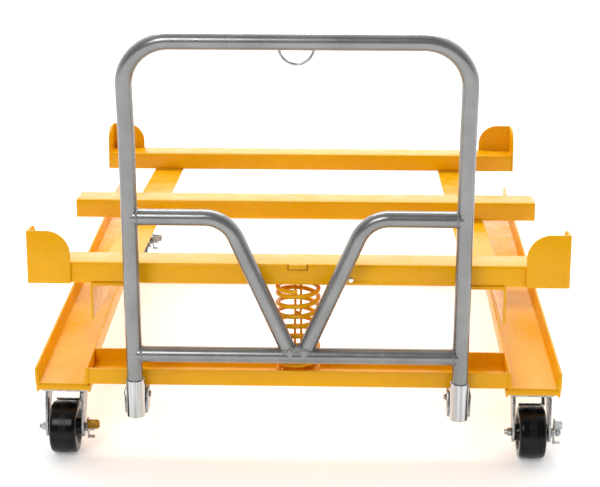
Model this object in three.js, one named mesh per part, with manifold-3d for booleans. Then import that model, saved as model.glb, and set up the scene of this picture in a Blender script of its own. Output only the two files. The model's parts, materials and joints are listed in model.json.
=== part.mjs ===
// Sprung platform dolly with a removable push handle. Millimetres, +Z up.
//
// While the pieces are laid out, Y = 0 is the front end of the base frame, where the handle
// stands, X = 0 is its middle, and Z = 0 is the floor. At the end the whole dolly is moved so
// that the origin is the middle of its footprint on the floor.
import * as THREE from 'three';
import { mergeVertices } from 'three/addons/utils/BufferGeometryUtils.js';
import Module from 'manifold-3d';

const wasm = await Module();
wasm.setup();

// ---------------------------------------------------------------- driving dimensions
const GAP = 0.3; // left between pieces that touch or are welded
const PLATE = 6.35; // quarter-inch plate

const FRAME_LENGTH = 1486;
const FRAME_HALF_WIDTH = 628.6;
const FRAME_TOP = 222;
const SIDE_CHANNEL = { width: 127, height: 44.4, web: 4.8, root: 10, tip: 5.5 };
const CROSS_CHANNEL = { width: 127, height: 40, web: 4.8, root: 9, tip: 5.5 };

const BEAM = { length: 1257.4, depth: 101.6, height: 50.8, wall: 4.8, corner: 7 };
const BEAM_SPACING = 660;
const BEAM_HOLE = { x: 125, height: 14, radius: 4.5 };
const RAIL = { leg: 88.9, thickness: PLATE, outerX: 489.5 };
const STOP = { width: 101.6, height: 127, corner: 57 };

const PIVOT = { y: 1405, z: 250, radius: 6.35 };
const DECK_RAISE = THREE.MathUtils.degToRad(4.95);
const RAIL_CLEARANCE = 1; // from the lowered rails to the cross channels
const DECK_FRONT = -1394.7; // front face of the front beam, measured back from the pivot

const REAR_SETBACK = 103; // from the rear ends of the side channels to the rear cross channel
const LUG = { inner: 491.8, outer: 501.3, bottom: 186, halfWidth: 20 };

const SPRING = { y: 63.5, wire: 11, meanRadius: 48.5, turns: 10, top: 417 };
const LINK = { wire: 6, halfWidth: 10, y: 62, meetZ: 345, upperTurn: 50, lowerTurn: -40 };

const HANDLE = {
  halfWidth: 384, tube: 19.05, wall: 2, y: -30, foot: 121.3, kinkZ: 810, leanDeg: 7.8,
  topZ: 1030, cornerRadius: 105, upperBarZ: 614.5, lowerBarZ: 275,
};
const BRACE = { footX: 14, shoulderX: 161, bendRadius: 78 };
const RING = { radius: 40, wire: 3.2, sink: 10 };
const SLEEVE = { outer: 22.2, inner: 19.6, lip: 15, bottom: 117, top: 211 };
const BRACKET = { half: 22.7, thickness: 5, back: 28, bottom: 120, top: 176, boltY: 15, boltZ: 152 };

const PAD = { width: 130, length: 114, plate: 12.7, lip: 18, lipThickness: 5 };
const CASTER = {
  trail: 45, wheelRadius: 63.5, wheelWidth: 64, hubHalf: 38.5, legInner: 40, leg: 6,
  boss: 24, axle: 6.35, plate: 5.7, crownTop: 151.8, crown: 6, kingpin: 8,
};

// How far each side's brake levers stick out, and how high their tabs sit above the axle.
const LEVERS = { left: { reach: 84, tabBottom: 2 }, right: { reach: 73, tabBottom: 14 } };

const PAD_BOTTOM = FRAME_TOP - SIDE_CHANNEL.height - GAP - PAD.plate;
const BASE_Z = FRAME_TOP - SIDE_CHANNEL.height;
const CROSS_Z = FRAME_TOP - CROSS_CHANNEL.height;
const CHANNEL_X = FRAME_HALF_WIDTH - SIDE_CHANNEL.width / 2;
const CASTER_X = 562;
const KINGPIN_INSET = PAD.length / 2;

// Heights in the deck are measured from the pivot, with the deck level.
const RAIL_BOTTOM = FRAME_TOP + RAIL_CLEARANCE - PIVOT.z;
const RAIL_TOP = RAIL_BOTTOM + RAIL.leg;
const BEAM_BOTTOM = RAIL_TOP + GAP;
const BEAM_TOP = BEAM_BOTTOM + BEAM.height;
const DECK_BACK = DECK_FRONT + 2 * BEAM_SPACING + BEAM.depth;

// ---------------------------------------------------------------- materials
const yellow = new THREE.MeshStandardMaterial({ color: 0xf5b21a, roughness: 0.35, metalness: 0 });
const grey = new THREE.MeshStandardMaterial({ color: 0x8a8b88, roughness: 0.35, metalness: 0.5 });
const chrome = new THREE.MeshStandardMaterial({ color: 0xd8dadb, roughness: 0.12, metalness: 1 });
const zinc = new THREE.MeshStandardMaterial({ color: 0xb9bdbd, roughness: 0.35, metalness: 1 });
const black = new THREE.MeshStandardMaterial({ color: 0x17171a, roughness: 0.3, metalness: 0 });

// ---------------------------------------------------------------- geometry helpers
// Turns a geometry inside out if its faces point in.
function outward(geometry) {
  const bare = new THREE.BufferGeometry();
  bare.setAttribute('position', geometry.getAttribute('position').clone());
  bare.setIndex(geometry.getIndex());
  const merged = mergeVertices(bare, 1e-4);
  const corner = [new THREE.Vector3(), new THREE.Vector3(), new THREE.Vector3()];
  const position = merged.getAttribute('position');
  const kept = [];
  let volume = 0;
  for (let i = 0; i < merged.index.count; i += 3) {
    const ids = [0, 1, 2].map((k) => merged.index.getX(i + k));
    if (new Set(ids).size < 3) continue;
    ids.forEach((id, k) => corner[k].fromBufferAttribute(position, id));
    volume += corner[0].dot(corner[1].clone().cross(corner[2]));
    kept.push(ids);
  }
  const ordered = volume < 0 ? kept.map((ids) => ids.toReversed()) : kept;
  merged.setIndex(ordered.flat());
  return merged;
}

function solid(geometry) {
  const closed = outward(geometry);
  return new wasm.Manifold(new wasm.Mesh({
    numProp: 3,
    vertProperties: new Float32Array(closed.getAttribute('position').array),
    triVerts: new Uint32Array(closed.index.array),
  }));
}

function surface(manifold) {
  const mesh = manifold.getMesh();
  const geometry = new THREE.BufferGeometry();
  geometry.setAttribute('position', new THREE.BufferAttribute(mesh.vertProperties, 3));
  geometry.setIndex(new THREE.BufferAttribute(mesh.triVerts, 1));
  return geometry;
}

const join = (...geometries) => surface(geometries.map(solid).reduce((all, next) => all.add(next)));

const cut = (body, ...tools) =>
  surface(tools.map(solid).reduce((left, tool) => left.subtract(tool), solid(body)));

function outline(points) {
  return new THREE.Shape(points.map(([u, v]) => new THREE.Vector2(u, v)));
}

// The outline is drawn in Y and Z, and the solid runs from x0 to x1.
function alongX(shape, x0, x1, curveSegments = 6) {
  const geometry = new THREE.ExtrudeGeometry(shape, { depth: x1 - x0, bevelEnabled: false, curveSegments });
  const turn = new THREE.Matrix4().makeBasis(
    new THREE.Vector3(0, 1, 0), new THREE.Vector3(0, 0, 1), new THREE.Vector3(1, 0, 0),
  );
  return geometry.applyMatrix4(turn).translate(x0, 0, 0);
}

// The outline is drawn in X and Z, and the solid runs from y0 to y1.
function alongY(shape, y0, y1, curveSegments = 6) {
  const geometry = new THREE.ExtrudeGeometry(shape, { depth: y1 - y0, bevelEnabled: false, curveSegments });
  return geometry.rotateX(Math.PI / 2).translate(0, y1, 0);
}

function box(x0, x1, y0, y1, z0, z1) {
  const geometry = new THREE.BoxGeometry(x1 - x0, y1 - y0, z1 - z0);
  return geometry.translate((x0 + x1) / 2, (y0 + y1) / 2, (z0 + z1) / 2);
}

function rodX(radius, x0, x1, y, z, sides = 20) {
  const geometry = new THREE.CylinderGeometry(radius, radius, x1 - x0, sides);
  return geometry.rotateZ(Math.PI / 2).translate((x0 + x1) / 2, y, z);
}

function rodZ(radius, z0, z1, x, y, sides = 24) {
  const geometry = new THREE.CylinderGeometry(radius, radius, z1 - z0, sides);
  return geometry.rotateX(Math.PI / 2).translate(x, y, (z0 + z1) / 2);
}

// A path that passes through given stations, each with its own direction.
class StationCurve extends THREE.Curve {
  constructor(stations) {
    super();
    this.stations = stations;
  }

  nearest(u) {
    return this.stations[Math.round(u * (this.stations.length - 1))];
  }

  getPoint(u) {
    return this.nearest(u).point.clone();
  }

  getPointAt(u) {
    return this.getPoint(u);
  }

  getTangent(u) {
    return this.nearest(u).direction.clone();
  }

  getTangentAt(u) {
    return this.getTangent(u);
  }
}

// Stations along straight runs joined by round bends of one radius.
function bentPath(corners, radii, stepDeg = 12) {
  const points = corners.map((p) => new THREE.Vector3(...p));
  const stations = [];
  const heading = (i) => points[i + 1].clone().sub(points[i]).normalize();
  stations.push({ point: points[0], direction: heading(0) });
  for (let i = 1; i < points.length - 1; i += 1) {
    const inward = heading(i - 1);
    const onward = heading(i);
    const bend = inward.angleTo(onward);
    const axis = inward.clone().cross(onward).normalize();
    const setback = radii[i - 1] * Math.tan(bend / 2);
    const start = points[i].clone().addScaledVector(inward, -setback);
    const centre = start.clone().addScaledVector(axis.clone().cross(inward), radii[i - 1]);
    const steps = Math.max(2, Math.ceil(THREE.MathUtils.radToDeg(bend) / stepDeg));
    for (let k = 0; k <= steps; k += 1) {
      const angle = (bend * k) / steps;
      const point = start.clone().sub(centre).applyAxisAngle(axis, angle).add(centre);
      stations.push({ point, direction: inward.clone().applyAxisAngle(axis, angle) });
    }
  }
  stations.push({ point: points.at(-1), direction: heading(points.length - 2) });
  return stations;
}

function sweep(section, stations, curveSegments = 8) {
  return new THREE.ExtrudeGeometry(section, {
    extrudePath: new StationCurve(stations), steps: stations.length - 1, bevelEnabled: false, curveSegments,
  });
}

function round(radius) {
  return new THREE.Shape().absarc(0, 0, radius, 0, 2 * Math.PI);
}

function tubeSection(radius, wall) {
  const section = round(radius);
  section.holes.push(new THREE.Path().absarc(0, 0, radius - wall, 0, 2 * Math.PI, true));
  return section;
}

const root = new THREE.Group();
const base = new THREE.Group();
const deck = new THREE.Group();
const handle = new THREE.Group();
root.add(base, deck, handle);

function place(parent, name, geometry, material) {
  const mesh = new THREE.Mesh(outward(geometry), material);
  mesh.name = name;
  parent.add(mesh);
  return mesh;
}

const SIDES = [['left', -1], ['right', 1]];

// ---------------------------------------------------------------- base frame
// Rolled channel section with its toes up, starting at 0 and standing on 0.
function channelOutline({ width, height, web, root: rootThickness, tip }) {
  return outline([
    [0, 0], [width, 0], [width, height], [width - tip, height], [width - rootThickness, web + 3],
    [width - rootThickness - 4, web], [rootThickness + 4, web], [rootThickness, web + 3], [tip, height],
    [0, height],
  ]);
}

function sideChannels() {
  for (const [side, sign] of SIDES) {
    const channel = alongY(channelOutline(SIDE_CHANNEL), 0, FRAME_LENGTH);
    place(base, `side_channel_${side}`, channel, yellow)
      .position.set(sign * CHANNEL_X - SIDE_CHANNEL.width / 2, 0, BASE_Z);
  }
}

const CROSS_HALF = FRAME_HALF_WIDTH - SIDE_CHANNEL.width - GAP;

function crossChannel(y) {
  return alongX(channelOutline(CROSS_CHANNEL), -CROSS_HALF, CROSS_HALF).translate(0, y, CROSS_Z);
}

// The front cross channel carries a block under each handle socket.
function frontCrossChannel() {
  const blocks = SIDES.map(([, sign]) => {
    const x = sign * HANDLE.halfWidth;
    return box(x - 20, x + 20, 2, BRACKET.back, BRACKET.boltZ - 18, CROSS_Z + 1);
  });
  const bores = SIDES.map(([, sign]) => {
    const x = sign * HANDLE.halfWidth;
    return rodX(5.4, x - 30, x + 30, BRACKET.boltY, BRACKET.boltZ);
  });
  place(base, 'cross_channel_front', cut(join(crossChannel(0), ...blocks), ...bores), yellow);
}

function rearCrossChannel() {
  const y = FRAME_LENGTH - REAR_SETBACK - CROSS_CHANNEL.width;
  place(base, 'cross_channel_rear', crossChannel(y), yellow);
}

// Upright lugs on the inner sides of the side channels, which the deck turns on.
function pivotLugs() {
  const { y, z, radius } = PIVOT;
  const { inner, outer, bottom, halfWidth } = LUG;
  const shape = new THREE.Shape();
  shape.moveTo(y - halfWidth, bottom);
  shape.lineTo(y + halfWidth, bottom);
  shape.lineTo(y + halfWidth, z);
  shape.absarc(y, z, halfWidth, 0, Math.PI);
  shape.closePath();
  const bore = rodX(radius + GAP, inner - 5, outer + 5, y, z);
  for (const [side, sign] of SIDES) {
    const lug = cut(alongX(shape, inner, outer, 8), bore);
    place(base, `pivot_lug_${side}`, sign > 0 ? lug : lug.scale(-1, 1, 1), yellow);
  }
}

function pivotBolts() {
  const nutX = RAIL.outerX - RAIL.thickness - GAP;
  for (const [side, sign] of SIDES) {
    const bolt = join(
      rodX(PIVOT.radius, nutX - 13, LUG.outer + 1, PIVOT.y, PIVOT.z),
      rodX(11, LUG.outer + GAP, LUG.outer + 8, PIVOT.y, PIVOT.z, 6),
      rodX(11, nutX - 10, nutX, PIVOT.y, PIVOT.z, 6),
    );
    const shown = sign > 0 ? bolt : bolt.scale(-1, 1, 1);
    place(base, `pivot_bolt_${side}`, shown, zinc);
  }
}

// ---------------------------------------------------------------- handle sockets
function sockets() {
  for (const [side, sign] of SIDES) {
    const x = sign * HANDLE.halfWidth;
    const profile = [
      [SLEEVE.lip, SLEEVE.bottom], [SLEEVE.outer, SLEEVE.bottom], [SLEEVE.outer, SLEEVE.top],
      [SLEEVE.inner, SLEEVE.top], [SLEEVE.inner, HANDLE.foot - GAP], [SLEEVE.lip, HANDLE.foot - GAP],
      [SLEEVE.lip, SLEEVE.bottom],
    ].map(([r, z]) => new THREE.Vector2(r, z));
    const sleeve = new THREE.LatheGeometry(profile, 24).rotateX(Math.PI / 2);
    place(base, `sleeve_${side}`, sleeve, chrome).position.set(x, HANDLE.y, 0);

    const cheek = outline([
      [HANDLE.y + 3, BRACKET.bottom], [BRACKET.back - 8, BRACKET.bottom], [BRACKET.back, BRACKET.bottom + 12],
      [BRACKET.back, BRACKET.top], [HANDLE.y + 20, BRACKET.top], [HANDLE.y + 3, BRACKET.top - 22],
    ]);
    const inner = BRACKET.half;
    const outer = BRACKET.half + BRACKET.thickness;
    const webY = HANDLE.y + SLEEVE.outer + 1;
    const bracket = join(
      alongX(cheek, x - outer, x - inner),
      alongX(cheek, x + inner, x + outer),
      box(x - inner - 1, x + inner + 1, webY, webY + BRACKET.thickness, BRACKET.bottom, BRACKET.top),
    );
    const bore = rodX(5.4, x - 40, x + 40, BRACKET.boltY, BRACKET.boltZ);
    place(base, `socket_bracket_${side}`, cut(bracket, bore), zinc);

    const bolt = join(
      rodX(5, x - outer - 7, x + outer + 2, BRACKET.boltY, BRACKET.boltZ, 16),
      rodX(8, x + outer + GAP, x + outer + 4, BRACKET.boltY, BRACKET.boltZ, 6),
      rodX(8, x - outer - 5, x - outer - GAP, BRACKET.boltY, BRACKET.boltZ, 6),
    );
    place(base, `socket_bolt_${side}`, bolt, zinc);
  }
}

// ---------------------------------------------------------------- deck
// The deck's pieces are laid out level around the pivot, and its group is then tipped up.
function beamOutline() {
  const shape = new THREE.Shape();
  const hole = new THREE.Path();
  for (const [path, inset] of [[shape, 0], [hole, BEAM.wall]]) {
    const radius = Math.max(BEAM.corner - inset, 2.5);
    const y0 = inset;
    const y1 = BEAM.depth - inset;
    const z0 = inset;
    const z1 = BEAM.height - inset;
    path.absarc(y1 - radius, z0 + radius, radius, -Math.PI / 2, 0);
    path.absarc(y1 - radius, z1 - radius, radius, 0, Math.PI / 2);
    path.absarc(y0 + radius, z1 - radius, radius, Math.PI / 2, Math.PI);
    path.absarc(y0 + radius, z0 + radius, radius, Math.PI, 1.5 * Math.PI);
    path.closePath();
  }
  shape.holes.push(hole);
  return shape;
}

const LINK_DECK_Y = (LINK.y - PIVOT.y) * Math.cos(DECK_RAISE) - (LINK.meetZ - PIVOT.z) * Math.sin(DECK_RAISE);

function deckBeams() {
  const tube = (i) => alongX(beamOutline(), -BEAM.length / 2, BEAM.length / 2, 3)
    .translate(0, DECK_FRONT + i * BEAM_SPACING, BEAM_BOTTOM);
  const slot = box(-23, 23, LINK_DECK_Y - 23, LINK_DECK_Y + 23, BEAM_BOTTOM - 2, BEAM_BOTTOM + BEAM.wall + 2);
  const hole = rodZ(BEAM_HOLE.radius, -BEAM.wall - 2, 2, 0, 0, 16).rotateX(-Math.PI / 2)
    .translate(BEAM_HOLE.x, DECK_FRONT, BEAM_BOTTOM + BEAM_HOLE.height);
  place(deck, 'beam_front', cut(tube(0), slot, hole), yellow);
  place(deck, 'beam_middle', tube(1), yellow);
  place(deck, 'beam_rear', tube(2), yellow);
}

// Angle rails under the beams, with the upright legs outboard.
function deckRails() {
  const { leg, thickness, outerX } = RAIL;
  const shape = new THREE.Shape();
  shape.moveTo(outerX, RAIL_BOTTOM);
  shape.lineTo(outerX, RAIL_TOP - 4);
  shape.absarc(outerX - 4, RAIL_TOP - 4, 4, 0, Math.PI / 2);
  shape.lineTo(outerX - leg, RAIL_TOP);
  shape.lineTo(outerX - leg, RAIL_TOP - thickness);
  shape.lineTo(outerX - thickness - 6, RAIL_TOP - thickness);
  shape.lineTo(outerX - thickness, RAIL_TOP - thickness - 6);
  shape.lineTo(outerX - thickness, RAIL_BOTTOM);
  shape.closePath();
  const bore = rodX(PIVOT.radius + GAP, outerX - 12, outerX + 6, 0, 0);
  for (const [side, sign] of SIDES) {
    const rail = cut(alongY(shape, DECK_FRONT, DECK_BACK, 3), bore);
    place(deck, `rail_${side}`, sign > 0 ? rail : rail.scale(-1, 1, 1), yellow);
  }
}

// One corner stop: two upright plates, each rounded off at its free top corner.
function stopPlate() {
  const { width, height, corner } = STOP;
  const shape = new THREE.Shape();
  shape.moveTo(0, 0);
  shape.lineTo(width, 0);
  shape.lineTo(width, height - corner);
  shape.absarc(width - corner, height - corner, corner, 0, Math.PI / 2);
  shape.lineTo(0, height);
  shape.closePath();
  return shape;
}

function cornerStops() {
  const outer = BEAM.length / 2 + GAP + PLATE;
  const ends = [['front', DECK_FRONT - GAP - PLATE, 1], ['rear', DECK_BACK + GAP + PLATE, -1]];
  for (const [end, y, inward] of ends) {
    for (const [side, sign] of SIDES) {
      const across = alongY(stopPlate(), 0, PLATE, 7);
      const along = alongX(stopPlate(), 0, PLATE, 7);
      const stop = join(across, along).scale(-sign, inward, 1).translate(sign * outer, y, BEAM_BOTTOM);
      place(deck, `stop_${end}_${side}`, stop, yellow);
    }
  }
}

// ---------------------------------------------------------------- spring and its stop links
function spring() {
  const bottom = CROSS_Z + CROSS_CHANNEL.web + GAP + SPRING.wire / 2;
  const perTurn = 16;
  const steps = SPRING.turns * perTurn;
  const closed = perTurn; // one turn at each end lies nearly flat
  const flatRise = SPRING.wire * 1.03;
  const rise = (SPRING.top - bottom - 2 * flatRise) / (steps - 2 * closed);
  const height = (k) => {
    const start = Math.min(k, closed) * (flatRise / closed);
    const middle = THREE.MathUtils.clamp(k - closed, 0, steps - 2 * closed) * rise;
    const end = Math.max(0, k - (steps - closed)) * (flatRise / closed);
    return bottom + start + middle + end;
  };
  const stations = [];
  for (let k = 0; k <= steps; k += 1) {
    const angle = (2 * Math.PI * k) / perTurn;
    const point = new THREE.Vector3(
      SPRING.meanRadius * Math.cos(angle), SPRING.y + SPRING.meanRadius * Math.sin(angle), height(k),
    );
    stations.push({ point, direction: new THREE.Vector3(-Math.sin(angle), Math.cos(angle), 0) });
  }
  place(base, 'lift_spring', sweep(round(SPRING.wire / 2), stations, 4), yellow);
}

// A rod bent to a U, its legs running from footZ to the bend at crownZ.
function linkRod(footZ, crownZ, turnDeg) {
  const w = LINK.halfWidth;
  const stations = bentPath(
    [[-w, 0, footZ], [-w, 0, crownZ], [w, 0, crownZ], [w, 0, footZ]], [w - 0.01, w - 0.01], 22.5,
  );
  return sweep(round(LINK.wire / 2), stations, 5).rotateZ(THREE.MathUtils.degToRad(turnDeg));
}

function stopLinks() {
  const floor = CROSS_Z + CROSS_CHANNEL.web + GAP;
  const lower = linkRod(floor, LINK.meetZ + LINK.wire / 2, LINK.lowerTurn);
  place(base, 'stop_link_lower', lower.translate(0, LINK.y, 0), yellow);
  const meet = (LINK.y - PIVOT.y) * Math.sin(DECK_RAISE) + (LINK.meetZ - PIVOT.z) * Math.cos(DECK_RAISE);
  const upper = linkRod(BEAM_TOP - BEAM.wall - GAP, meet - LINK.wire / 2 - GAP, LINK.upperTurn);
  place(deck, 'stop_link_upper', upper.translate(0, LINK_DECK_Y, 0), yellow);
}

// ---------------------------------------------------------------- push handle
const LEAN = THREE.MathUtils.degToRad(HANDLE.leanDeg);
const TOP_Y = HANDLE.y - (HANDLE.topZ - HANDLE.kinkZ) * Math.tan(LEAN);

function handleLoop() {
  const { halfWidth: w, y, foot, kinkZ, topZ, cornerRadius } = HANDLE;
  const corners = [
    [-w, y, foot], [-w, y, kinkZ], [-w, TOP_Y, topZ], [w, TOP_Y, topZ], [w, y, kinkZ], [w, y, foot],
  ];
  const stations = bentPath(corners, [200, cornerRadius, cornerRadius, 200]);
  place(handle, 'handle_loop', sweep(tubeSection(HANDLE.tube, HANDLE.wall), stations, 9), grey);
}

const handleLeg = (sign) =>
  rodZ(HANDLE.tube + GAP, HANDLE.foot, HANDLE.kinkZ, sign * HANDLE.halfWidth, HANDLE.y, 36);

function handleCrossbar() {
  const { halfWidth: w, y, lowerBarZ, tube, wall } = HANDLE;
  const stations = bentPath([[-w, y, lowerBarZ], [w, y, lowerBarZ]], []);
  const bar = cut(sweep(tubeSection(tube, wall), stations, 9), handleLeg(-1), handleLeg(1));
  place(handle, 'handle_crossbar', bar, grey);
}

function handleBraces() {
  const { halfWidth: w, y, upperBarZ, lowerBarZ, tube, wall } = HANDLE;
  const crossbar = rodX(tube + GAP, -w, w, y, lowerBarZ, 36);
  for (const [side, sign] of SIDES) {
    const corners = [
      [sign * w, y, upperBarZ], [sign * BRACE.shoulderX, y, upperBarZ], [sign * BRACE.footX, y, lowerBarZ],
    ];
    const run = sweep(tubeSection(tube, wall), bentPath(corners, [BRACE.bendRadius]), 9);
    const ends = [0.15 * sign, -60 * sign].sort((a, b) => a - b);
    const otherSide = box(...ends, y - 40, y + 40, lowerBarZ - 40, lowerBarZ + 80);
    place(handle, `handle_brace_${side}`, cut(run, handleLeg(sign), crossbar, otherSide), grey);
  }
}

// Half ring of wire under the middle of the top bar.
function handleRing() {
  const z = HANDLE.topZ - RING.sink;
  const stations = [];
  const steps = 14;
  for (let k = 0; k <= steps; k += 1) {
    const angle = Math.PI + (Math.PI * k) / steps;
    const point = new THREE.Vector3(RING.radius * Math.cos(angle), TOP_Y, z + RING.radius * Math.sin(angle));
    stations.push({ point, direction: new THREE.Vector3(-Math.sin(angle), 0, Math.cos(angle)) });
  }
  const bar = rodX(HANDLE.tube + GAP, -60, 60, TOP_Y, HANDLE.topZ, 36);
  place(handle, 'handle_ring', cut(sweep(round(RING.wire), stations, 5), bar), zinc);
}

// ---------------------------------------------------------------- casters
// Each caster is laid out around its kingpin, with the wheel trailing towards the front.
const AXLE_Y = -CASTER.trail;
const AXLE_Z = CASTER.wheelRadius;

function padGeometry() {
  const half = PAD.width / 2;
  const top = BASE_Z - GAP;
  const low = top - PAD.lip;
  const under = top - PAD.plate;
  const inner = half - PAD.lipThickness;
  const shape = outline([
    [-half, top], [-half, low], [-inner, low], [-inner, under], [inner, under], [inner, low], [half, low],
    [half, top],
  ]);
  return alongY(shape, -KINGPIN_INSET, KINGPIN_INSET);
}

function casterPlate() {
  const top = PAD_BOTTOM - GAP;
  const under = top - CASTER.plate;
  const nutTop = CASTER.crownTop - CASTER.crown - GAP;
  return join(
    box(-51, 51, -52, 52, under, top),
    rodZ(25, CASTER.crownTop + GAP, under + 1, 0, 0, 32),
    rodZ(CASTER.kingpin, nutTop - 3, under, 0, 0),
    rodZ(11, nutTop - 4, nutTop, 0, 0),
  );
}

function forkGeometry() {
  const { legInner, leg, boss, crownTop, crown } = CASTER;
  const cheek = new THREE.Shape();
  cheek.moveTo(AXLE_Y - 2, crownTop);
  cheek.lineTo(30, crownTop);
  cheek.lineTo(30, crownTop - 12);
  cheek.quadraticCurveTo(0, crownTop - 30, AXLE_Y + boss, AXLE_Z);
  cheek.absarc(AXLE_Y, AXLE_Z, boss, 0, -Math.PI, true);
  cheek.closePath();
  const outer = legInner + leg;
  const body = join(
    alongX(cheek, -outer, -legInner),
    alongX(cheek, legInner, outer),
    box(-outer, outer, -15, 30, crownTop - crown, crownTop),
  );
  return cut(
    body,
    rodX(CASTER.axle + GAP, -outer - 5, outer + 5, AXLE_Y, AXLE_Z),
    rodZ(CASTER.kingpin + GAP, crownTop - crown - 5, crownTop + 5, 0, 0),
  );
}

// Brake shoe: a bar just above the tread, on a spring strip that hangs from one side of the crown.
function shoeGeometry() {
  const reach = CASTER.wheelRadius + 2.5;
  const thick = 3;
  const along = Math.SQRT1_2;
  const at = (radial, tangent) => [
    AXLE_Y + radial * along + tangent * along,
    AXLE_Z + radial * along - tangent * along,
  ];
  const under = CASTER.crownTop - CASTER.crown - GAP;
  const bar = outline([at(reach, -14), at(reach, 14), at(reach + thick, 14), at(reach + thick, -14)]);
  const foot = reach + thick - 0.5;
  const strip = outline([[20, under], [25, under], at(foot, -3), at(foot, -10)]);
  return join(alongX(bar, -28, 36), alongX(strip, 28, 36));
}

function axleGeometry() {
  const outer = CASTER.legInner + CASTER.leg;
  return join(
    rodX(CASTER.axle, -outer - 18, outer + 25, AXLE_Y, AXLE_Z),
    rodX(11, -outer - 11, -outer - GAP, AXLE_Y, AXLE_Z, 6),
    rodX(11, outer + 14, outer + 22, AXLE_Y, AXLE_Z, 6),
  );
}

// Half of the wheel's section, as radius and distance from the middle plane, tread first.
function wheelGeometry() {
  const r = CASTER.wheelRadius;
  const w = CASTER.wheelWidth / 2;
  const half = [[r, w - 12], [r - 0.6, w - 5], [r - 3, w - 1], [r - 8, w], [r - 14, w - 3], [r - 18, w - 9],
    [24, w - 9], [20, w - 4], [19, CASTER.hubHalf], [CASTER.axle + GAP, CASTER.hubHalf]];
  const mirrored = half.map(([radius, x]) => [radius, -x]).reverse();
  const loop = [...half, ...mirrored, half[0]].map(([radius, x]) => new THREE.Vector2(radius, x));
  return new THREE.LatheGeometry(loop, 36).rotateZ(Math.PI / 2).translate(0, AXLE_Y, AXLE_Z);
}

// Brake lever on the axle's outer end, with a thumb tab above and a release tab below.
function leverGeometry({ reach, tabBottom }) {
  const outer = CASTER.legInner + CASTER.leg;
  const face = outer + 7;
  const tabTop = tabBottom + 22;
  const plate = outline([
    [AXLE_Y - 12, AXLE_Z + tabTop], [AXLE_Y - 13, AXLE_Z], [AXLE_Y - 7, AXLE_Z - 28],
    [AXLE_Y + 5, AXLE_Z - 32], [AXLE_Y + 13, AXLE_Z], [AXLE_Y + 4, AXLE_Z + tabTop],
  ]);
  const tab = new THREE.Shape();
  tab.moveTo(face + 1, AXLE_Z + tabBottom);
  tab.lineTo(reach - 6, AXLE_Z + tabBottom);
  tab.absarc(reach - 6, AXLE_Z + tabBottom + 6, 6, -Math.PI / 2, 0);
  tab.absarc(reach - 6, AXLE_Z + tabTop - 6, 6, 0, Math.PI / 2);
  tab.lineTo(face + 1, AXLE_Z + tabTop);
  tab.closePath();
  const body = join(
    alongX(plate, face, face + 3.5),
    alongY(tab, AXLE_Y - 16, AXLE_Y - 10),
    box(face + 1, face + 17, AXLE_Y - 9, AXLE_Y + 1, AXLE_Z - 26, AXLE_Z - 22),
    rodX(11, outer + GAP, face + 1, AXLE_Y, AXLE_Z),
  );
  return cut(body, rodX(CASTER.axle + GAP, outer - 2, face + 10, AXLE_Y, AXLE_Z));
}

function casters() {
  const ends = [['front', KINGPIN_INSET], ['rear', FRAME_LENGTH - KINGPIN_INSET]];
  for (const [end, y] of ends) {
    for (const [side, sign] of SIDES) {
      const station = new THREE.Group();
      station.position.set(sign * CASTER_X, y, 0);
      base.add(station);
      const where = `${end}_${side}`;
      place(station, `caster_pad_${where}`, padGeometry(), yellow);
      place(station, `caster_plate_${where}`, casterPlate(), zinc);
      place(station, `caster_fork_${where}`, forkGeometry(), zinc);
      place(station, `brake_shoe_${where}`, shoeGeometry(), zinc);
      place(station, `axle_${where}`, axleGeometry(), zinc);
      place(station, `wheel_${where}`, wheelGeometry(), black);
      place(station, `brake_lever_${where}`, leverGeometry(LEVERS[side]), zinc);
    }
  }
}

sideChannels();
frontCrossChannel();
rearCrossChannel();
pivotLugs();
pivotBolts();
sockets();
deckBeams();
deckRails();
cornerStops();
spring();
stopLinks();
handleLoop();
handleCrossbar();
handleBraces();
handleRing();
casters();

deck.position.set(0, PIVOT.y, PIVOT.z);
deck.rotation.x = -DECK_RAISE;

const group = new THREE.Group();
group.add(root);
const footprint = new THREE.Box3().setFromObject(root, true);
root.position.set(-(footprint.min.x + footprint.max.x) / 2, -(footprint.min.y + footprint.max.y) / 2, 0);

export default group;
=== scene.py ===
# %% [markdown]
# # A sprung load dolly
# A low steel dolly on four swivel casters. Its deck of three beams is hinged at the far end and
# held up at the near end by a coil spring, and a tubular push handle stands in two sleeves. The
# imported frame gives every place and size. Here each piece gets its rounded edges, its welds and
# its finish.

# %% Load the frame
import json
import math

import bmesh
import bpy
from mathutils import Matrix, Vector

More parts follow.
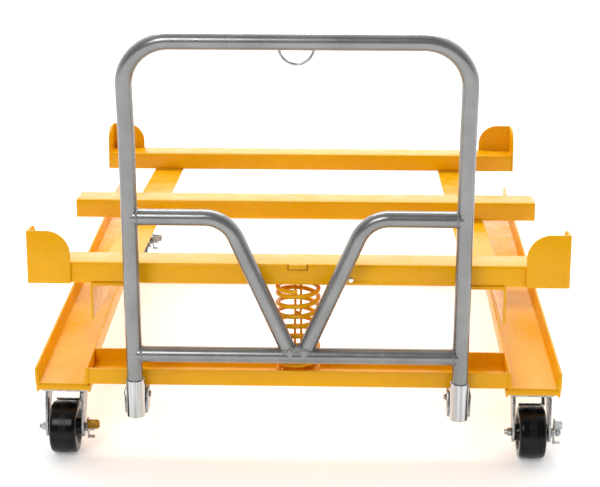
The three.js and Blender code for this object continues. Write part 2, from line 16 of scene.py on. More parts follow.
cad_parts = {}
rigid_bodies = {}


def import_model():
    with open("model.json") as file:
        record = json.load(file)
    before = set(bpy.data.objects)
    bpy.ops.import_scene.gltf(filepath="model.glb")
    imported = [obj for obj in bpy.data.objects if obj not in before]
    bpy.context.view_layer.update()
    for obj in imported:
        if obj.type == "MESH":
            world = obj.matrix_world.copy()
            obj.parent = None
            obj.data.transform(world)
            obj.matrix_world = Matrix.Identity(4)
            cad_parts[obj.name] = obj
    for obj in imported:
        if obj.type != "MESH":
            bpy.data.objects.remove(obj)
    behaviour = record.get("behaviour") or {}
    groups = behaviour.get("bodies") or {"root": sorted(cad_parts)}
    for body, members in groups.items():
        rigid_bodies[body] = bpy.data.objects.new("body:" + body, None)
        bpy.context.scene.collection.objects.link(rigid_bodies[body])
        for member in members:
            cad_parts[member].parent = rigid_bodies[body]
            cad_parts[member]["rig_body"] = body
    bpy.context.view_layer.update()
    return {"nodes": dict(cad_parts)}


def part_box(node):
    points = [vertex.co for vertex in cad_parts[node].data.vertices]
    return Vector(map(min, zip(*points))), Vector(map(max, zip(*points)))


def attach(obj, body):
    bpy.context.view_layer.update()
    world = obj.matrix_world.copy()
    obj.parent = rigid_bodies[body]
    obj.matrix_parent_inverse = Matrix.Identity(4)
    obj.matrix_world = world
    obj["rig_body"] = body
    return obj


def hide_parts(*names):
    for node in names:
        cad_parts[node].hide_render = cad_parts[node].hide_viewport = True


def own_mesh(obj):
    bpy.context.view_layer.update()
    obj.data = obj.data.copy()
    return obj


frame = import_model()
MM = 0.001
SAME_PLACE = 0.00002

# %% [markdown]
# ## Camera
# A long lens stands at the handle end, higher than the handle and a little to the right, and
# looks down, so that the far end of the dolly shows over the near one.

# %% Camera
LENS_MM, SENSOR_MM, VIEW_DEPTH = 96.37, 36, 60
CAMERA_AT = (0.1072, -4.2064, 1.7742)
LOOK_DOWN, LOOK_LEFT = 19.35, 1.65
bpy.context.scene.view_settings.view_transform = "Standard"
lens = bpy.data.cameras.new("lens")
lens.lens = LENS_MM
lens.sensor_width = SENSOR_MM
lens.clip_end = VIEW_DEPTH
camera = bpy.data.objects.new("camera", lens)
bpy.context.collection.objects.link(camera)
camera.location = CAMERA_AT
camera.rotation_euler = (math.radians(90 - LOOK_DOWN), 0, math.radians(LOOK_LEFT))
bpy.context.scene.camera = camera
print("camera", CAMERA_AT, "lens", LENS_MM)

# %% [markdown]
# ## Working by hand in code
# A mesh operator acts on all that is selected. So each step here first deselects everything, then
# picks what passes a test, such as the open edges at a tube's end, as a hand would click on them.

# %% Helpers for modelling
def pick(kind, test):
    """Selects the vertices, edges or faces that pass the test, and nothing else."""
    bpy.ops.mesh.select_mode(type=kind)
    bpy.ops.mesh.select_all(action="DESELECT")
    mesh = bmesh.from_edit_mesh(bpy.context.object.data)
    groups = {"VERT": mesh.verts, "EDGE": mesh.edges, "FACE": mesh.faces}
    chosen = [element for element in groups[kind] if test(element)]
    for element in chosen:
        element.select_set(True)
    bmesh.update_edit_mesh(bpy.context.object.data)
    return len(chosen)


def edit():
    bpy.ops.object.mode_set(mode="EDIT")


def leave():
    bpy.ops.object.mode_set(mode="OBJECT")


def only(piece):
    """Makes the piece the one that is selected and active."""
    bpy.ops.object.select_all(action="DESELECT")
    piece.select_set(True)
    bpy.context.view_layer.objects.active = piece


def start(name):
    """Names a new primitive, puts its place into its mesh, and opens it with all of it selected."""
    piece = bpy.context.object
    piece.name = name
    bpy.ops.object.transform_apply(location=True, rotation=True, scale=True)
    edit()
    bpy.ops.mesh.select_all(action="SELECT")
    return piece


def modify(piece, kind, **settings):
    """Adds one modifier and applies it."""
    only(piece)
    modifier = piece.modifiers.new(kind.lower(), kind)
    for name, value in settings.items():
        setattr(modifier, name, value)
    bpy.ops.object.modifier_apply(modifier=modifier.name)


def smooth(piece, degrees=35):
    only(piece)
    bpy.ops.object.shade_smooth_by_angle(angle=math.radians(degrees))


def dress(piece, material, body):
    """The last step for a piece: its finish and the body it moves with."""
    piece.data.materials.clear()
    piece.data.materials.append(material)
    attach(piece, body)
    return piece


# %% [markdown]
# ## Finishes
# Colours are written as they look on a screen and turned to linear light by one function. Another
# function adds a node with its settings and links, so that each finish reads as a short recipe.

# %% Helpers for finishes
def shade(code):
    """A screen colour such as #f5b21a as the linear colour that a node takes."""
    parts = [int(code[i:i + 2], 16) / 255 for i in (1, 3, 5)]
    linear = [p / 12.92 if p <= 0.04045 else ((p + 0.055) / 1.055) ** 2.4 for p in parts]
    return (*linear, 1)


def add(tree, kind, values=None, links=None, **settings):
    """Adds a node with its settings, its sockets' values and the links into it."""
    made = tree.nodes.new("ShaderNode" + kind)
    for name, value in settings.items():
        setattr(made, name, value)
    for socket, value in (values or {}).items():
        made.inputs[socket].default_value = value
    for socket, source in (links or {}).items():
        tree.links.new(source, made.inputs[socket])
    return made


def finish_named(name):
    material = bpy.data.materials.new(name)
    material.use_nodes = True
    material.node_tree.nodes.clear()
    return material, material.node_tree


def grain(tree, size, detail=2.0, stretch=(1, 1, 1)):
    """Noise whose blotches are about size millimetres across, stretched along the axes."""
    place = add(tree, "TexCoord")
    turned = add(tree, "Mapping", {"Scale": stretch}, {"Vector": place.outputs["Object"]})
    return add(tree, "TexNoise", {"Scale": 1000 / size, "Detail": detail},
               {"Vector": turned.outputs["Vector"]}).outputs["Fac"]


def spread(tree, source, low, high, start_at=0.35, stop_at=0.65):
    """Maps the middle of a noise's range to the range low to high."""
    ends = {"From Min": start_at, "From Max": stop_at, "To Min": low, "To Max": high}
    return add(tree, "MapRange", ends, {"Value": source}).outputs["Result"]


def blend_colours(tree, share, first, second):
    mix = add(tree, "Mix", links={"Factor": share}, data_type="RGBA")
    for socket, colour in ((6, first), (7, second)):
        if isinstance(colour, str):
            mix.inputs[socket].default_value = shade(colour)
        else:
            tree.links.new(colour, mix.inputs[socket])
    return mix.outputs[2]


def close_finish(tree, values, links):
    surface = add(tree, "BsdfPrincipled", values, links)
    add(tree, "OutputMaterial", links={"Surface": surface.outputs["BSDF"]})


# %% [markdown]
# ### Powder coat
# The steel is sprayed with dry polyester powder and baked. The powder melts to a thick glossy
# skin that is smooth but never flat: it has a fine orange peel, drawn here 3 mm across so that it
# shows, and its colour shifts a little where the coat is thin. Handling leaves small dull scuffs.
# A darker brown copy of the coat is painted shade: it colours the beads round the beam tab so
# that they read as the shadow line of a groove round it.

# %% Powder coat
def powder_coat(name, deep, full, scuffed):
    material, tree = finish_named(name)
    thin = spread(tree, grain(tree, 220, 2), 0, 1)
    colour = blend_colours(tree, thin, deep, full)
    scuff = spread(tree, grain(tree, 14, 8), 0, 0.35, 0.68, 0.76)
    worn = blend_colours(tree, scuff, colour, scuffed)
    rough = spread(tree, grain(tree, 45, 4), 0.2, 0.34)
    peel = add(tree, "Bump", {"Strength": 0.12, "Distance": 0.0006}, {"Height": grain(tree, 3, 2)})
    close_finish(tree, {"IOR": 1.5, "Specular IOR Level": 0.24},
                 {"Base Color": worn, "Roughness": rough, "Normal": peel.outputs["Normal"]})
    return material


yellow_powder = powder_coat("yellow_powder_coat", "#eda800", "#f3b000", "#d8960c")
# Painted shade: a dark brown coat for the beads that outline the beam tab as a shadow line.
painted_shade_coat = powder_coat("tab_painted_shade_coat", "#a8650a", "#bf7a0c", "#8f5208")
print("finishes", yellow_powder.name, painted_shade_coat.name)

# %% [markdown]
# ### Grey metallic coat
# The handle's paint holds aluminium flake, so it is part metal: bright along the tube's top line
# and grey below. The flake shows only as a very fine peel, and welding smoke dulls the gloss in
# blotches.

# %% Grey metallic coat
def flake_coat():
    material, tree = finish_named("grey_metallic_coat")
    blotch = spread(tree, grain(tree, 90, 4), 0, 1)
    colour = blend_colours(tree, blotch, "#868786", "#929392")
    rough = spread(tree, grain(tree, 30, 3), 0.2, 0.28)
    peel = add(tree, "Bump", {"Strength": 0.04, "Distance": 0.0002},
               {"Height": grain(tree, 2.2, 2)})
    close_finish(tree, {"Metallic": 0.7, "IOR": 1.5},
                 {"Base Color": colour, "Roughness": rough, "Normal": peel.outputs["Normal"]})
    return material


grey_coat = flake_coat()
print("finish", grey_coat.name)

# %% [markdown]
# ### Chrome sleeve, zinc plate and black wheel
# The sleeves are drawn tube with bright plating, with fine draw lines along them; the dark and
# light streaks in their colour along those lines are painted reflection streaks. The casters are
# zinc
# plated: a softer shine, with the cloudy spangle that the bath leaves. The wheels are moulded from
# hard black compound with a glossy skin. The middle of the tread is rubbed dull by rolling and
# coloured lighter as a painted highlight line. The rivet is nickel plated and the brightest of
# them. One brake tab is zinc that was passivated yellow, which gives it the look of dull brass.

# %% Chrome, zinc and wheel
def plated(name, dark, light, low, high, cloud, stretch):
    material, tree = finish_named(name)
    clouds = grain(tree, cloud, 4, stretch)
    colour = blend_colours(tree, spread(tree, clouds, 0, 1), dark, light)
    rough = spread(tree, grain(tree, cloud / 4, 3, stretch), low, high)
    lines = add(tree, "Bump", {"Strength": 0.08, "Distance": 0.0004}, {"Height": clouds})
    close_finish(tree, {"Metallic": 1.0},
                 {"Base Color": colour, "Roughness": rough, "Normal": lines.outputs["Normal"]})
    return material


# The sleeve's colour is streaked dark and light along the tube: painted reflection streaks. The
# bump along the same lines is the draw lines.
drawn_plate_painted_streaks = plated("drawn_plate_with_painted_streaks", "#a6a8a9", "#cdcfd0", 0.12, 0.24, 6, (1, 1, 0.03))
bright_rivet = plated("bright_nickel_plate", "#f2f2f1", "#fafaf9", 0.08, 0.14, 3, (1, 1, 1))
zinc = plated("zinc_plate", "#8f9293", "#bcbfc0", 0.24, 0.42, 9, (1, 1, 1))
dull_brass = plated("yellow_passivated_zinc", "#8a6524", "#b88a36", 0.3, 0.5, 9, (1, 1, 1))


def black_compound(name, dark, marked, low, high):
    material, tree = finish_named(name)
    mark = grain(tree, 7, 6)
    colour = blend_colours(tree, spread(tree, mark, 0, 1, 0.5, 0.8), dark, marked)
    rough = spread(tree, grain(tree, 18, 5), low, high)
    fine = add(tree, "Bump", {"Strength": 0.1, "Distance": 0.0004}, {"Height": grain(tree, 2.5, 3)})
    close_finish(tree, {"IOR": 1.5, "Specular IOR Level": 0.22},
                 {"Base Color": colour, "Roughness": rough, "Normal": fine.outputs["Normal"]})
    return material


wheel_black = black_compound("black_wheel_compound", "#060607", "#141313", 0.14, 0.26)
# Painted highlight: the tread's middle strip is lighter than the wheel, besides being duller from
# rolling wear.
tread_wear_and_highlight = black_compound("wheel_tread_wear_and_highlight", "#100f0f", "#1e1d1c", 0.26, 0.4)
made = (drawn_plate_painted_streaks, bright_rivet, zinc, dull_brass, wheel_black, tread_wear_and_highlight)
print("finishes", [material.name for material in made])

# %% [markdown]
# ## Rolled, folded and sawn steel
# The channels, beams, rails, stops and brackets have the right shape in the frame already, but
# their edges are knife sharp. Real stock is rolled or folded with rounded edges, and that edge
# catches the light. So a copy of each has its doubles merged and its flat faces made whole, and
# is then bevelled.

# %% Round the edges of the stock
def soften(node, material, width, steps=3, limit=38):
    source = frame["nodes"][node]
    piece = bpy.data.objects.new(node + "_stock", source.data.copy())
    bpy.context.collection.objects.link(piece)
    only(piece)
    edit()
    bpy.ops.mesh.select_all(action="SELECT")
    bpy.ops.mesh.remove_doubles(threshold=SAME_PLACE)
    bpy.ops.mesh.dissolve_limited(angle_limit=math.radians(1.2))
    leave()
    modify(piece, "BEVEL", width=width * MM, segments=steps, limit_method="ANGLE",
           angle_limit=math.radians(limit), use_clamp_overlap=True)
    smooth(piece)
    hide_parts(node)
    return dress(piece, material, source["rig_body"])


def has(node, *starts):
    return node.startswith(starts)


for node in sorted(frame["nodes"]):
    if has(node, "side_channel", "cross_channel", "rail"):
        soften(node, yellow_powder, 1.6)
    elif has(node, "beam"):
        soften(node, yellow_powder, 0.8, 2)
    elif has(node, "stop_front", "stop_rear", "pivot_lug"):
        soften(node, yellow_powder, 1.2)
    elif has(node, "stop_link"):
        soften(node, yellow_powder, 0.3, 1, 60)
    elif has(node, "caster_pad"):
        soften(node, yellow_powder, 1.8)
    elif has(node, "caster_plate", "caster_fork", "brake_shoe", "brake_lever"):
        soften(node, zinc, 0.8, 2)
    elif has(node, "socket", "pivot_bolt", "axle"):
        soften(node, zinc, 0.6, 2)

# %% [markdown]
# ## The push handle
# The handle is bent from one length of round tube on a tube bender, with two smaller bent braces
# and a straight crossbar welded in. The tube is modelled the same way: a ring of points is
# extruded for each straight, and spun about the bend's centre for each bend, and the skin then
# gets its wall.

# %% Bend a tube
def bent_tube(name, foot, heading, radius, wall, moves, sides=40):
    """Straights are one length; bends are the way they turn, the bend's radius and its degrees."""
    here, ahead = Vector(foot), Vector(heading).normalized()
    turned_to = Vector((0, 0, 1)).rotation_difference(ahead).to_euler()
    bpy.ops.object.select_all(action="DESELECT")
    bpy.ops.mesh.primitive_circle_add(vertices=sides, radius=radius, location=here,
                                      rotation=turned_to)
    piece = start(name)
    bpy.ops.mesh.select_mode(type="EDGE")
    bpy.ops.mesh.select_all(action="SELECT")
    for move in moves:
        if len(move) == 1:
            step = ahead * move[0]
            bpy.ops.mesh.extrude_region_move(TRANSFORM_OT_translate={"value": step})
            here += step
        else:
            way, bend, degrees = Vector(move[0]), move[1], move[2]
            way = (way - ahead * way.dot(ahead)).normalized()
            centre = here + way * bend
            bpy.ops.mesh.spin(steps=math.ceil(degrees / 4), angle=math.radians(degrees),
                              center=centre, axis=way.cross(ahead))
            turn = Matrix.Rotation(math.radians(degrees), 3, ahead.cross(way))
            here, ahead = centre + turn @ (here - centre), turn @ ahead
    bpy.ops.mesh.select_all(action="SELECT")
    bpy.ops.mesh.remove_doubles(threshold=SAME_PLACE)
    bpy.ops.mesh.normals_make_consistent(inside=False)
    leave()
    if wall:
        modify(piece, "SOLIDIFY", thickness=wall, offset=-1)
    else:
        edit()
        pick("EDGE", lambda edge: edge.is_boundary)
        bpy.ops.mesh.fill_holes(sides=0)
        leave()
    smooth(piece)
    return piece


# %% Handle loop, crossbar, braces and ring
TUBE, TUBE_WALL = 19.05 * MM, 2 * MM
loop_low, loop_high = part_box("handle_loop")
leg_x, leg_y, foot_z = loop_high.x - TUBE, loop_high.y - TUBE, loop_low.z
top_y, top_z = loop_low.y + TUBE, loop_high.z - TUBE
KINK_Z, KINK_BEND, CORNER_BEND = 0.81, 0.2, 0.105
lean = math.atan2(leg_y - top_y, top_z - KINK_Z)
kink_back = KINK_BEND * math.tan(lean / 2)
lean_run = math.hypot(leg_y - top_y, top_z - KINK_Z) - kink_back - CORNER_BEND
upright = KINK_Z - kink_back - foot_z
towards_feet = (0, math.sin(lean), -math.cos(lean))
loop = bent_tube("handle_tube", (-leg_x, leg_y, foot_z), (0, 0, 1), TUBE, TUBE_WALL, [
    (upright,), ((0, -1, 0), KINK_BEND, math.degrees(lean)), (lean_run,),
    ((1, 0, 0), CORNER_BEND, 90), (2 * (leg_x - CORNER_BEND),), (towards_feet, CORNER_BEND, 90),
    (lean_run,), ((0, -1, 0), KINK_BEND, math.degrees(lean)), (upright,)])
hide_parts("handle_loop")
dress(loop, grey_coat, "handle")

bar_low, bar_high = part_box("handle_crossbar")
bar_z = (bar_low.z + bar_high.z) / 2
crossbar = bent_tube("handle_cross_tube", (-leg_x, leg_y, bar_z), (1, 0, 0), TUBE, TUBE_WALL,
                     [(2 * leg_x,)])
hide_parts("handle_crossbar")
dress(crossbar, grey_coat, "handle")

# Each brace's foot is cut to the round of the crossbar, as a pipe notcher does it before welding.
BRACE_FOOT, BRACE_SHOULDER, BRACE_BEND = 0.014, 0.161, 0.078
BRACE_SHORT, NOTCH_LENGTH, NOTCH_SLACK = 2 * MM, 0.4, 0.2 * MM
brace_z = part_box("handle_brace_left")[1].z - TUBE
brace_drop = math.atan2(brace_z - bar_z, BRACE_SHOULDER - BRACE_FOOT)
brace_back = BRACE_BEND * math.tan(brace_drop / 2)
brace_run = math.hypot(brace_z - bar_z, BRACE_SHOULDER - BRACE_FOOT) - brace_back - BRACE_SHORT
SIDES = (("left", -1), ("right", 1))
for side, sign in SIDES:
    moves = [(leg_x - BRACE_SHOULDER - brace_back,),
             ((0, 0, -1), BRACE_BEND, math.degrees(brace_drop)), (brace_run,)]
    brace = bent_tube("brace_tube_" + side, (sign * leg_x, leg_y, brace_z), (-sign, 0, 0),
                      TUBE, TUBE_WALL, moves)
    bpy.ops.object.select_all(action="DESELECT")
    bpy.ops.mesh.primitive_cylinder_add(vertices=64, radius=TUBE - NOTCH_SLACK, depth=NOTCH_LENGTH,
                                        location=(0, leg_y, bar_z), rotation=(0, math.pi / 2, 0))
    mouth = bpy.context.object
    modify(brace, "BOOLEAN", operation="DIFFERENCE", object=mouth, solver="EXACT")
    smooth(brace)
    bpy.data.objects.remove(mouth)
    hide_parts("handle_brace_" + side)
    dress(brace, grey_coat, "handle")

RING_WIRE, RING_END = 3.2 * MM, 6 * MM
ring_low, ring_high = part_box("handle_ring")
ring_radius = ring_high.x - RING_WIRE
ring_top = ring_low.z + ring_radius + RING_WIRE
ring = bent_tube("hanging_ring", (-ring_radius, top_y, ring_top + RING_END), (0, 0, -1),
                 RING_WIRE, 0, [(RING_END,), ((1, 0, 0), ring_radius, 180), (RING_END,)], 20)
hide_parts("handle_ring")
dress(ring, zinc, "handle")
print("lean", round(math.degrees(lean), 2), "brace slope", round(math.degrees(brace_drop), 1))

# %% [markdown]
# ## Handle sleeves
# Two short lengths of larger tube hold the handle's feet. They are plated bright, sawn square and
# deburred, so the two rims are rounded a little.

# %% Sleeves
SLEEVE_WALL, SLEEVE_RIM = 2.6 * MM, 0.6 * MM
for side, sign in SIDES:
    low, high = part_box("sleeve_" + side)
    around = (high.x - low.x) / 2
    sleeve = bent_tube("plated_sleeve_" + side, (sign * leg_x, leg_y, low.z), (0, 0, 1),
                       around, SLEEVE_WALL, [(high.z - low.z,)], 56)
    modify(sleeve, "BEVEL", width=SLEEVE_RIM, segments=3, limit_method="ANGLE", angle_limit=1.0)
    smooth(sleeve)
    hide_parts("sleeve_" + side)
    dress(sleeve, drawn_plate_painted_streaks, "frame")
print("sleeve radius", round(around, 4))

# %% [markdown]
# ## The lifting spring
# A compression spring is wound from bar on a mandrel. A ring of points as thick as the bar is
# carried round and up by the Screw modifier, and the first and last turn are then pressed nearly
# flat, as they are on a real spring so that it stands square.

# %% Spring
SPRING_BAR, SPRING_TURNS, BAR_POINTS, TURN_STEPS = 11 * MM, 10, 20, 48
low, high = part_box("lift_spring")
spring_centre = (low + high) / 2
spring_radius = (high.x - low.x - SPRING_BAR) / 2
free_height = high.z - low.z - SPRING_BAR
end_rise = SPRING_BAR * 1.05
lead = (free_height - 2 * end_rise) / (SPRING_TURNS - 2)
bpy.ops.object.select_all(action="DESELECT")
bpy.ops.mesh.primitive_circle_add(vertices=BAR_POINTS, radius=SPRING_BAR / 2,
                                  location=(0, -spring_radius, 0), rotation=(0, math.pi / 2, 0))
spring = start("lift_spring_coil")
leave()
modify(spring, "SCREW", axis="Z", angle=2 * math.pi, screw_offset=lead, iterations=SPRING_TURNS,
       steps=TURN_STEPS, render_steps=TURN_STEPS, use_merge_vertices=False)
edit()
pick("EDGE", lambda edge: edge.is_boundary)
bpy.ops.mesh.fill_holes(sides=0)
bpy.ops.mesh.select_all(action="SELECT")
bpy.ops.mesh.normals_make_consistent(inside=False)
leave()


def pressed(height):
    """Where a height on the evenly wound coil goes once its two end turns are pressed down."""
    first = min(height, lead) * end_rise / lead
    last = max(0, height - lead * (SPRING_TURNS - 1)) * end_rise / lead
    return first + min(max(height - lead, 0), lead * (SPRING_TURNS - 2)) + last


for ring_start in range(0, len(spring.data.vertices), BAR_POINTS):
    points = spring.data.vertices[ring_start:ring_start + BAR_POINTS]
    height = sum(point.co.z for point in points) / len(points)
    for point in points:
        point.co.z += pressed(height) - height
spring_foot = (spring_centre.x, spring_centre.y, low.z + SPRING_BAR / 2)
spring.data.transform(Matrix.Translation(spring_foot))
smooth(spring)
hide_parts("lift_spring")
dress(spring, yellow_powder, "frame")
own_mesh(spring)
print("spring height", round(high.z - low.z, 4))

# %% [markdown]
# ## Casters
# Each wheel is turned about its axle from half of its section: a crowned tread with round
# shoulders, a dished web on each side and a hub that stands out. The middle of the tread is its
# own strip, as dull as rolling makes it and coloured a little lighter as a painted highlight line.

# %% Turn a section about an axle
def arc(radius_at, along_at, size, first, last, steps=5):
    """Points of a round corner in a section, as radius and distance along the axle."""
    angles = [math.radians(first + (last - first) * k / steps) for k in range(steps + 1)]
    return [(radius_at + size * math.cos(a), along_at + size * math.sin(a)) for a in angles]


def turned(name, centre, section, sides=72):
    bpy.ops.object.select_all(action="DESELECT")
    bpy.ops.mesh.primitive_circle_add(vertices=len(section), radius=0.01)
    piece = start(name)
    mesh = bmesh.from_edit_mesh(piece.data)
    for vertex, (radius, along) in zip(mesh.verts, section):
        vertex.co = Vector(centre) + Vector((along, 0, radius))
    bmesh.update_edit_mesh(piece.data)
    bpy.ops.mesh.spin(steps=sides, angle=2 * math.pi, center=centre, axis=(1, 0, 0))
    bpy.ops.mesh.select_all(action="SELECT")
    bpy.ops.mesh.remove_doubles(threshold=SAME_PLACE)
    bpy.ops.mesh.normals_make_consistent(inside=False)
    leave()
    smooth(piece)
    return piece


def wheel_section(tread, half, hub_half, bore):
    """One side of the wheel's section from the tread to the bore, and then its mirror image."""
    near = [(tread, 0.009), (tread - 0.0006, half - 0.011)]
    near += arc(tread - 0.0096, half - 0.009, 0.009, 5, 90)
    near += [(tread - 0.016, half - 0.0004)]
    near += arc(tread - 0.019, half - 0.003, 0.0026, 90, 180, 3)
    near += [(0.030, half - 0.011), (0.026, half - 0.010), (0.0225, half - 0.004)]
    near += arc(0.0195, hub_half - 0.002, 0.002, 0, 90, 3) + [(bore, hub_half)]
    return near + [(radius, -along) for radius, along in reversed(near)]


WHEEL_HALF, TREAD_STRIP_HALF, TREAD_DEPTH, AXLE_BORE = 0.032, 0.0085, 0.002, 0.0068
CORNERS = [(end, side) for end in ("front", "rear") for side, _ in SIDES]
low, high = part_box("wheel_front_left")
axle = (low + high) / 2
tread = (high.z - low.z) / 2
first_wheel = turned("tyre_front_left", axle,
                     wheel_section(tread, WHEEL_HALF, (high.x - low.x) / 2, AXLE_BORE))
first_wheel.data.materials.append(wheel_black)
first_wheel.data.materials.append(tread_wear_and_highlight)
# The middle strip of the tread: duller from rolling wear, and lighter as a painted highlight line.
for face in first_wheel.data.polygons:
    from_axle = Vector((0, face.center.y - axle.y, face.center.z - axle.z)).length
    in_strip = abs(face.center.x - axle.x) < TREAD_STRIP_HALF
    face.material_index = int(in_strip and from_axle > tread - TREAD_DEPTH)


def copied(piece, name, offset):
    """A copy with its own mesh, moved in its mesh."""
    copy = bpy.data.objects.new(name, piece.data.copy())
    bpy.context.collection.objects.link(copy)
    copy.data.transform(Matrix.Translation(offset))
    return copy


for end, side in CORNERS:
    corner = end + "_" + side
    low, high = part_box("wheel_" + corner)
    offset = (low + high) / 2 - axle
    wheel = first_wheel if corner == "front_left" else copied(first_wheel, "tyre_" + corner, offset)
    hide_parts("wheel_" + corner)
    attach(wheel, "wheel_" + corner)
print("wheels", len(CORNERS), "radius", round(tread, 4))

# %% [markdown]
# ## Weld beads
# The frame, deck and handle are welded. A bead is a row of small overlapping ripples, so one
# flattened ball is repeated along each joint. Round a tube the bead is a ring, rippled the same
# way.

# %% Beads
def bead(name, first, last, size, material, body):
    first, last = Vector(first), Vector(last)
    run = last - first
    count = max(2, round(run.length / (size * 0.95)))
    bpy.ops.object.select_all(action="DESELECT")
    bpy.ops.mesh.primitive_uv_sphere_add(segments=12, ring_count=7, radius=size, location=first)
    piece = start(name)
    leave()
    modify(piece, "ARRAY", count=count + 1, use_relative_offset=False, use_constant_offset=True,
           constant_offset_displace=run / count)
    smooth(piece, 60)
    return dress(piece, material, body)


def ring_bead(name, centre, heading, around, size, material, body):
    turn = Vector((0, 0, 1)).rotation_difference(Vector(heading)).to_euler()
    bpy.ops.object.select_all(action="DESELECT")
    bpy.ops.mesh.primitive_torus_add(major_radius=around, minor_radius=size, major_segments=96,
                                     minor_segments=10, location=(0, 0, 0))
    piece = start(name)
    leave()
    for point in piece.data.vertices:
        angle = math.atan2(point.co.y, point.co.x)
        spine = Vector((math.cos(angle), math.sin(angle), 0)) * around
        point.co = spine + (point.co - spine) * (1 + 0.22 * math.sin(26 * angle))
    piece.data.transform(Matrix.Translation(centre) @ turn.to_matrix().to_4x4())
    smooth(piece, 60)
    return dress(piece, material, body)


WELD_RING, FOOT_RISE, CROTCH_OUT = TUBE - 0.5 * MM, 21 * MM, 14 * MM
LEG_WELD, FOOT_WELD, CROTCH_WELD = 2.6 * MM, 3.4 * MM, 4.5 * MM
CROTCH_ROWS = ((14 * MM, 17 * MM), (9 * MM, 21 * MM), (4 * MM, 25 * MM))
for side, sign in SIDES:
    for what, z in (("brace", brace_z), ("crossbar", bar_z)):
        ring_bead(f"weld_{what}_{side}", (sign * (leg_x - TUBE + 1.5 * MM), leg_y, z), (1, 0, 0),
                  WELD_RING, LEG_WELD, grey_coat, "handle")
for side, sign in SIDES:
    slope = Vector((math.cos(brace_drop), 0, math.sin(brace_drop)))
    slope.x *= sign
    foot = Vector((sign * BRACE_FOOT, leg_y, bar_z)) + slope * FOOT_RISE
    ring_bead("weld_brace_foot_" + side, foot, slope, WELD_RING, FOOT_WELD,
              grey_coat, "handle")
for layer, (reach, up) in enumerate(CROTCH_ROWS):
    crotch = Vector((reach, leg_y - CROTCH_OUT, bar_z + up))
    mirrored = Vector((-crotch.x, crotch.y, crotch.z))
    bead(f"weld_crotch_{layer}", mirrored, crotch, CROTCH_WELD, grey_coat, "handle")

# %% [markdown]
# The deck stands tilted at rest, so its beads are placed in the deck's own directions, across,
# back and up from the hinge, and then turned with it. The tilt is measured from the first and
# last beam.

# %% Beads on the deck and the base frame
BEAM_SPACING, BEAM_DEPTH, BEAM_HEIGHT = 0.66, 0.1016, 0.0508
DECK_FRONT, BEAM_BOTTOM = -1.3947, 0.0622
STOP_BEAD, RAIL_BEAD, PAD_BEAD, CORNER_BEAD = 2.4 * MM, 2.6 * MM, 3.2 * MM, 2.4 * MM
RAIL_INSET, PAD_INSET, CORNER_HEIGHT = 6 * MM, 8 * MM, 38 * MM
pivot = sum(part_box("pivot_bolt_left"), Vector()) / 2
pivot.x = 0
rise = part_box("beam_front")[0].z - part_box("beam_rear")[0].z
tilt = math.asin(rise / (2 * BEAM_SPACING))
deck_turn = Matrix.Rotation(-tilt, 3, "X")
beam_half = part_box("beam_front")[1].x
rail_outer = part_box("rail_right")[1].x
rail_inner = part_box("rail_right")[0].x
stop_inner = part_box("stop_front_right")[0].x


def on_deck(across, back, up):
    """A place given across, back and up from the hinge, in the deck's own directions."""
    return pivot + deck_turn @ Vector((across, back, up))


def deck_bead(name, first, last, size):
    bead(name, on_deck(*first), on_deck(*last), size, yellow_powder, "deck")


beam_top = BEAM_BOTTOM + BEAM_HEIGHT
far_edge = DECK_FRONT + 2 * BEAM_SPACING + BEAM_DEPTH
for side, sign in SIDES:
    for end, edge, inward in (("front", DECK_FRONT, 1), ("rear", far_edge, -1)):
        deck_bead(f"weld_stop_across_{end}_{side}", (sign * (stop_inner + 8 * MM), edge, beam_top),
                  (sign * (beam_half - 4 * MM), edge, beam_top), STOP_BEAD)
        deck_bead(f"weld_stop_along_{end}_{side}",
                  (sign * beam_half, edge + inward * 6 * MM, beam_top),
                  (sign * beam_half, edge + inward * (BEAM_DEPTH - 8 * MM), beam_top), STOP_BEAD)
    for i, name in enumerate(("front", "middle", "rear")):
        edge = DECK_FRONT + i * BEAM_SPACING - 0.6 * MM
        deck_bead(f"weld_rail_{name}_{side}", (sign * (rail_inner + RAIL_INSET), edge, BEAM_BOTTOM),
                  (sign * (rail_outer - RAIL_INSET), edge, BEAM_BOTTOM), RAIL_BEAD)
    for end in ("front", "rear"):
        low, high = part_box(f"caster_pad_{end}_{side}")
        bead(f"weld_pad_{end}_{side}", (low.x + PAD_INSET, low.y, high.z),
             (high.x - PAD_INSET, low.y, high.z), PAD_BEAD, yellow_powder, "frame")
    low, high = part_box("cross_channel_front")
    corner_x = sign * high.x
    bead("weld_corner_" + side, (corner_x, low.y, high.z - CORNER_HEIGHT),
         (corner_x, low.y, high.z - 2 * MM), CORNER_BEAD, yellow_powder, "frame")
print("deck tilt", round(math.degrees(tilt), 2), "hinge", [round(v, 4) for v in pivot])

# %% [markdown]
# The front beam carries a small welded tab in the middle of its top edge, and one bright rivet
# closes the drain hole near the bottom of its front face.

# %% Beam tab and rivet
TAB_WIDTH, TAB_DEPTH, TAB_HEIGHT, TAB_BEAD = 0.042, 6 * MM, 0.011, 1.8 * MM
bpy.ops.object.select_all(action="DESELECT")
bpy.ops.mesh.primitive_cube_add(size=1)
tab = start("beam_tab")
bpy.ops.transform.resize(value=(TAB_WIDTH, TAB_DEPTH, TAB_HEIGHT))
leave()
modify(tab, "BEVEL", width=0.5 * MM, segments=2)
tab_place = on_deck(0, DECK_FRONT - 0.5 * MM, beam_top - 6.5 * MM)
tab.data.transform(Matrix.Translation(tab_place) @ deck_turn.to_4x4())
smooth(tab)
dress(tab, yellow_powder, "deck")

tab_low, tab_top = beam_top - 12.5 * MM, beam_top - 1 * MM
tab_face = DECK_FRONT - 2 * MM
half = TAB_WIDTH / 2 + 1 * MM
outline = [(-half, tab_top), (-half, tab_low), (half, tab_low), (half, tab_top)]
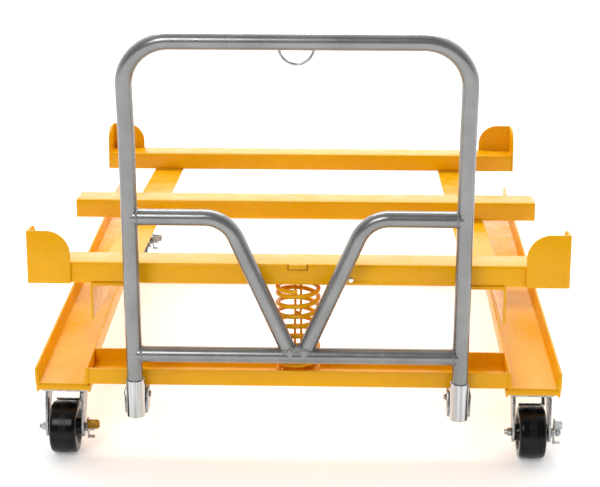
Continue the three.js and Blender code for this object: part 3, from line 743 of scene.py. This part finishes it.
# The three beads round the tab are dark brown as painted shade, for the shadow line of a groove
# round the tab.
for i in range(3):
    (x0, z0), (x1, z1) = outline[i], outline[i + 1]
    bead(f"tab_shade_bead_{i}", on_deck(x0, tab_face, z0), on_deck(x1, tab_face, z1), TAB_BEAD,
         painted_shade_coat, "deck")

# A flat head mirrors the white floor, so it reads as a bright dot.
RIVET_X, RIVET_HEIGHT, RIVET_RADIUS = 0.125, 14 * MM, 5.6 * MM
bpy.ops.object.select_all(action="DESELECT")
bpy.ops.mesh.primitive_cylinder_add(vertices=36, radius=RIVET_RADIUS, depth=2 * MM,
                                    rotation=(math.pi / 2, 0, 0))
rivet = start("drain_rivet")
leave()
modify(rivet, "BEVEL", width=0.4 * MM, segments=2, limit_method="ANGLE", angle_limit=1.0)
rivet_place = on_deck(RIVET_X, DECK_FRONT - 1.2 * MM, BEAM_BOTTOM + RIVET_HEIGHT)
rivet.data.transform(Matrix.Translation(rivet_place) @ deck_turn.to_4x4())
smooth(rivet)
dress(rivet, bright_rivet, "deck")
print("tab", TAB_WIDTH, TAB_HEIGHT, "rivet", [round(v, 4) for v in rivet_place])

# %% [markdown]
# One brake tab, at the front left, is passivated yellow instead of clear, so it looks like dull
# brass.

# %% Brass-coloured brake tab
TAB_START = 12 * MM
lever = bpy.data.objects["brake_lever_front_left_stock"]
low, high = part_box("brake_lever_front_left")
lever.data.materials.append(dull_brass)
half_height = (low.z + high.z) / 2
for face in lever.data.polygons:
    on_tab = face.center.x > low.x + TAB_START and face.center.z > half_height
    face.material_index = int(on_tab)
print("yellow passivated faces", sum(face.material_index for face in lever.data.polygons))

# %% [markdown]
# ## Light
# A white sweep: the sky is white and a little brighter behind the dolly, so that level faces pick
# up a pale sheen. One soft box stands to the left of the camera, and a narrow one high behind the
# dolly draws a bright line along the top of every tube.

# %% Floor, sky and lamps
FLOOR_SIZE, FLOOR_DROP, FLOOR_GLOW = 40, 0.5 * MM, 0.28


def floor_finish():
    material, tree = finish_named("studio_floor")
    cloud = blend_colours(tree, spread(tree, grain(tree, 900, 2), 0, 1), "#fafafa", "#fdfdfd")
    close_finish(tree,
                 {"Roughness": 0.9, "Specular IOR Level": 0.2, "Emission Strength": FLOOR_GLOW},
                 {"Base Color": cloud, "Emission Color": cloud})
    return material


bpy.ops.object.select_all(action="DESELECT")
bpy.ops.mesh.primitive_plane_add(size=FLOOR_SIZE, location=(0, 0, -FLOOR_DROP))
floor = bpy.context.object
floor.name = "studio_floor"
floor.data.materials.append(floor_finish())


def white_sweep(front, back):
    """A sky that is brighter behind the dolly than behind the camera."""
    sky = bpy.data.worlds.new("white_sweep")
    sky.use_nodes = True
    tree = sky.node_tree
    ahead = add(tree, "SeparateXYZ", links={"Vector": add(tree, "TexCoord").outputs["Generated"]})
    strength = spread(tree, ahead.outputs["Y"], front, back, -0.4, 0.7)
    tree.links.new(strength, tree.nodes["Background"].inputs["Strength"])
    tree.nodes["Background"].inputs["Color"].default_value = (1, 1, 1, 1)
    return sky


bpy.context.scene.world = white_sweep(front=0.22, back=1.75)


def soft_box(name, place, aim, size, power):
    light = bpy.data.lights.new(name, "AREA")
    light.shape = "RECTANGLE"
    light.size, light.size_y = size
    light.energy = power
    lamp = bpy.data.objects.new(name, light)
    lamp.location = place
    lamp.rotation_euler = (Vector(aim) - Vector(place)).to_track_quat("-Z", "Y").to_euler()
    bpy.context.collection.objects.link(lamp)


soft_box("key", place=(-2.4, -6.9, 6.1), aim=(0, 0.3, 0.3), size=(3.4, 3.4), power=235)
soft_box("back_strip", place=(0, 2.6, 4.2), aim=(0, -0.6, 0.6), size=(4.0, 0.5), power=105)
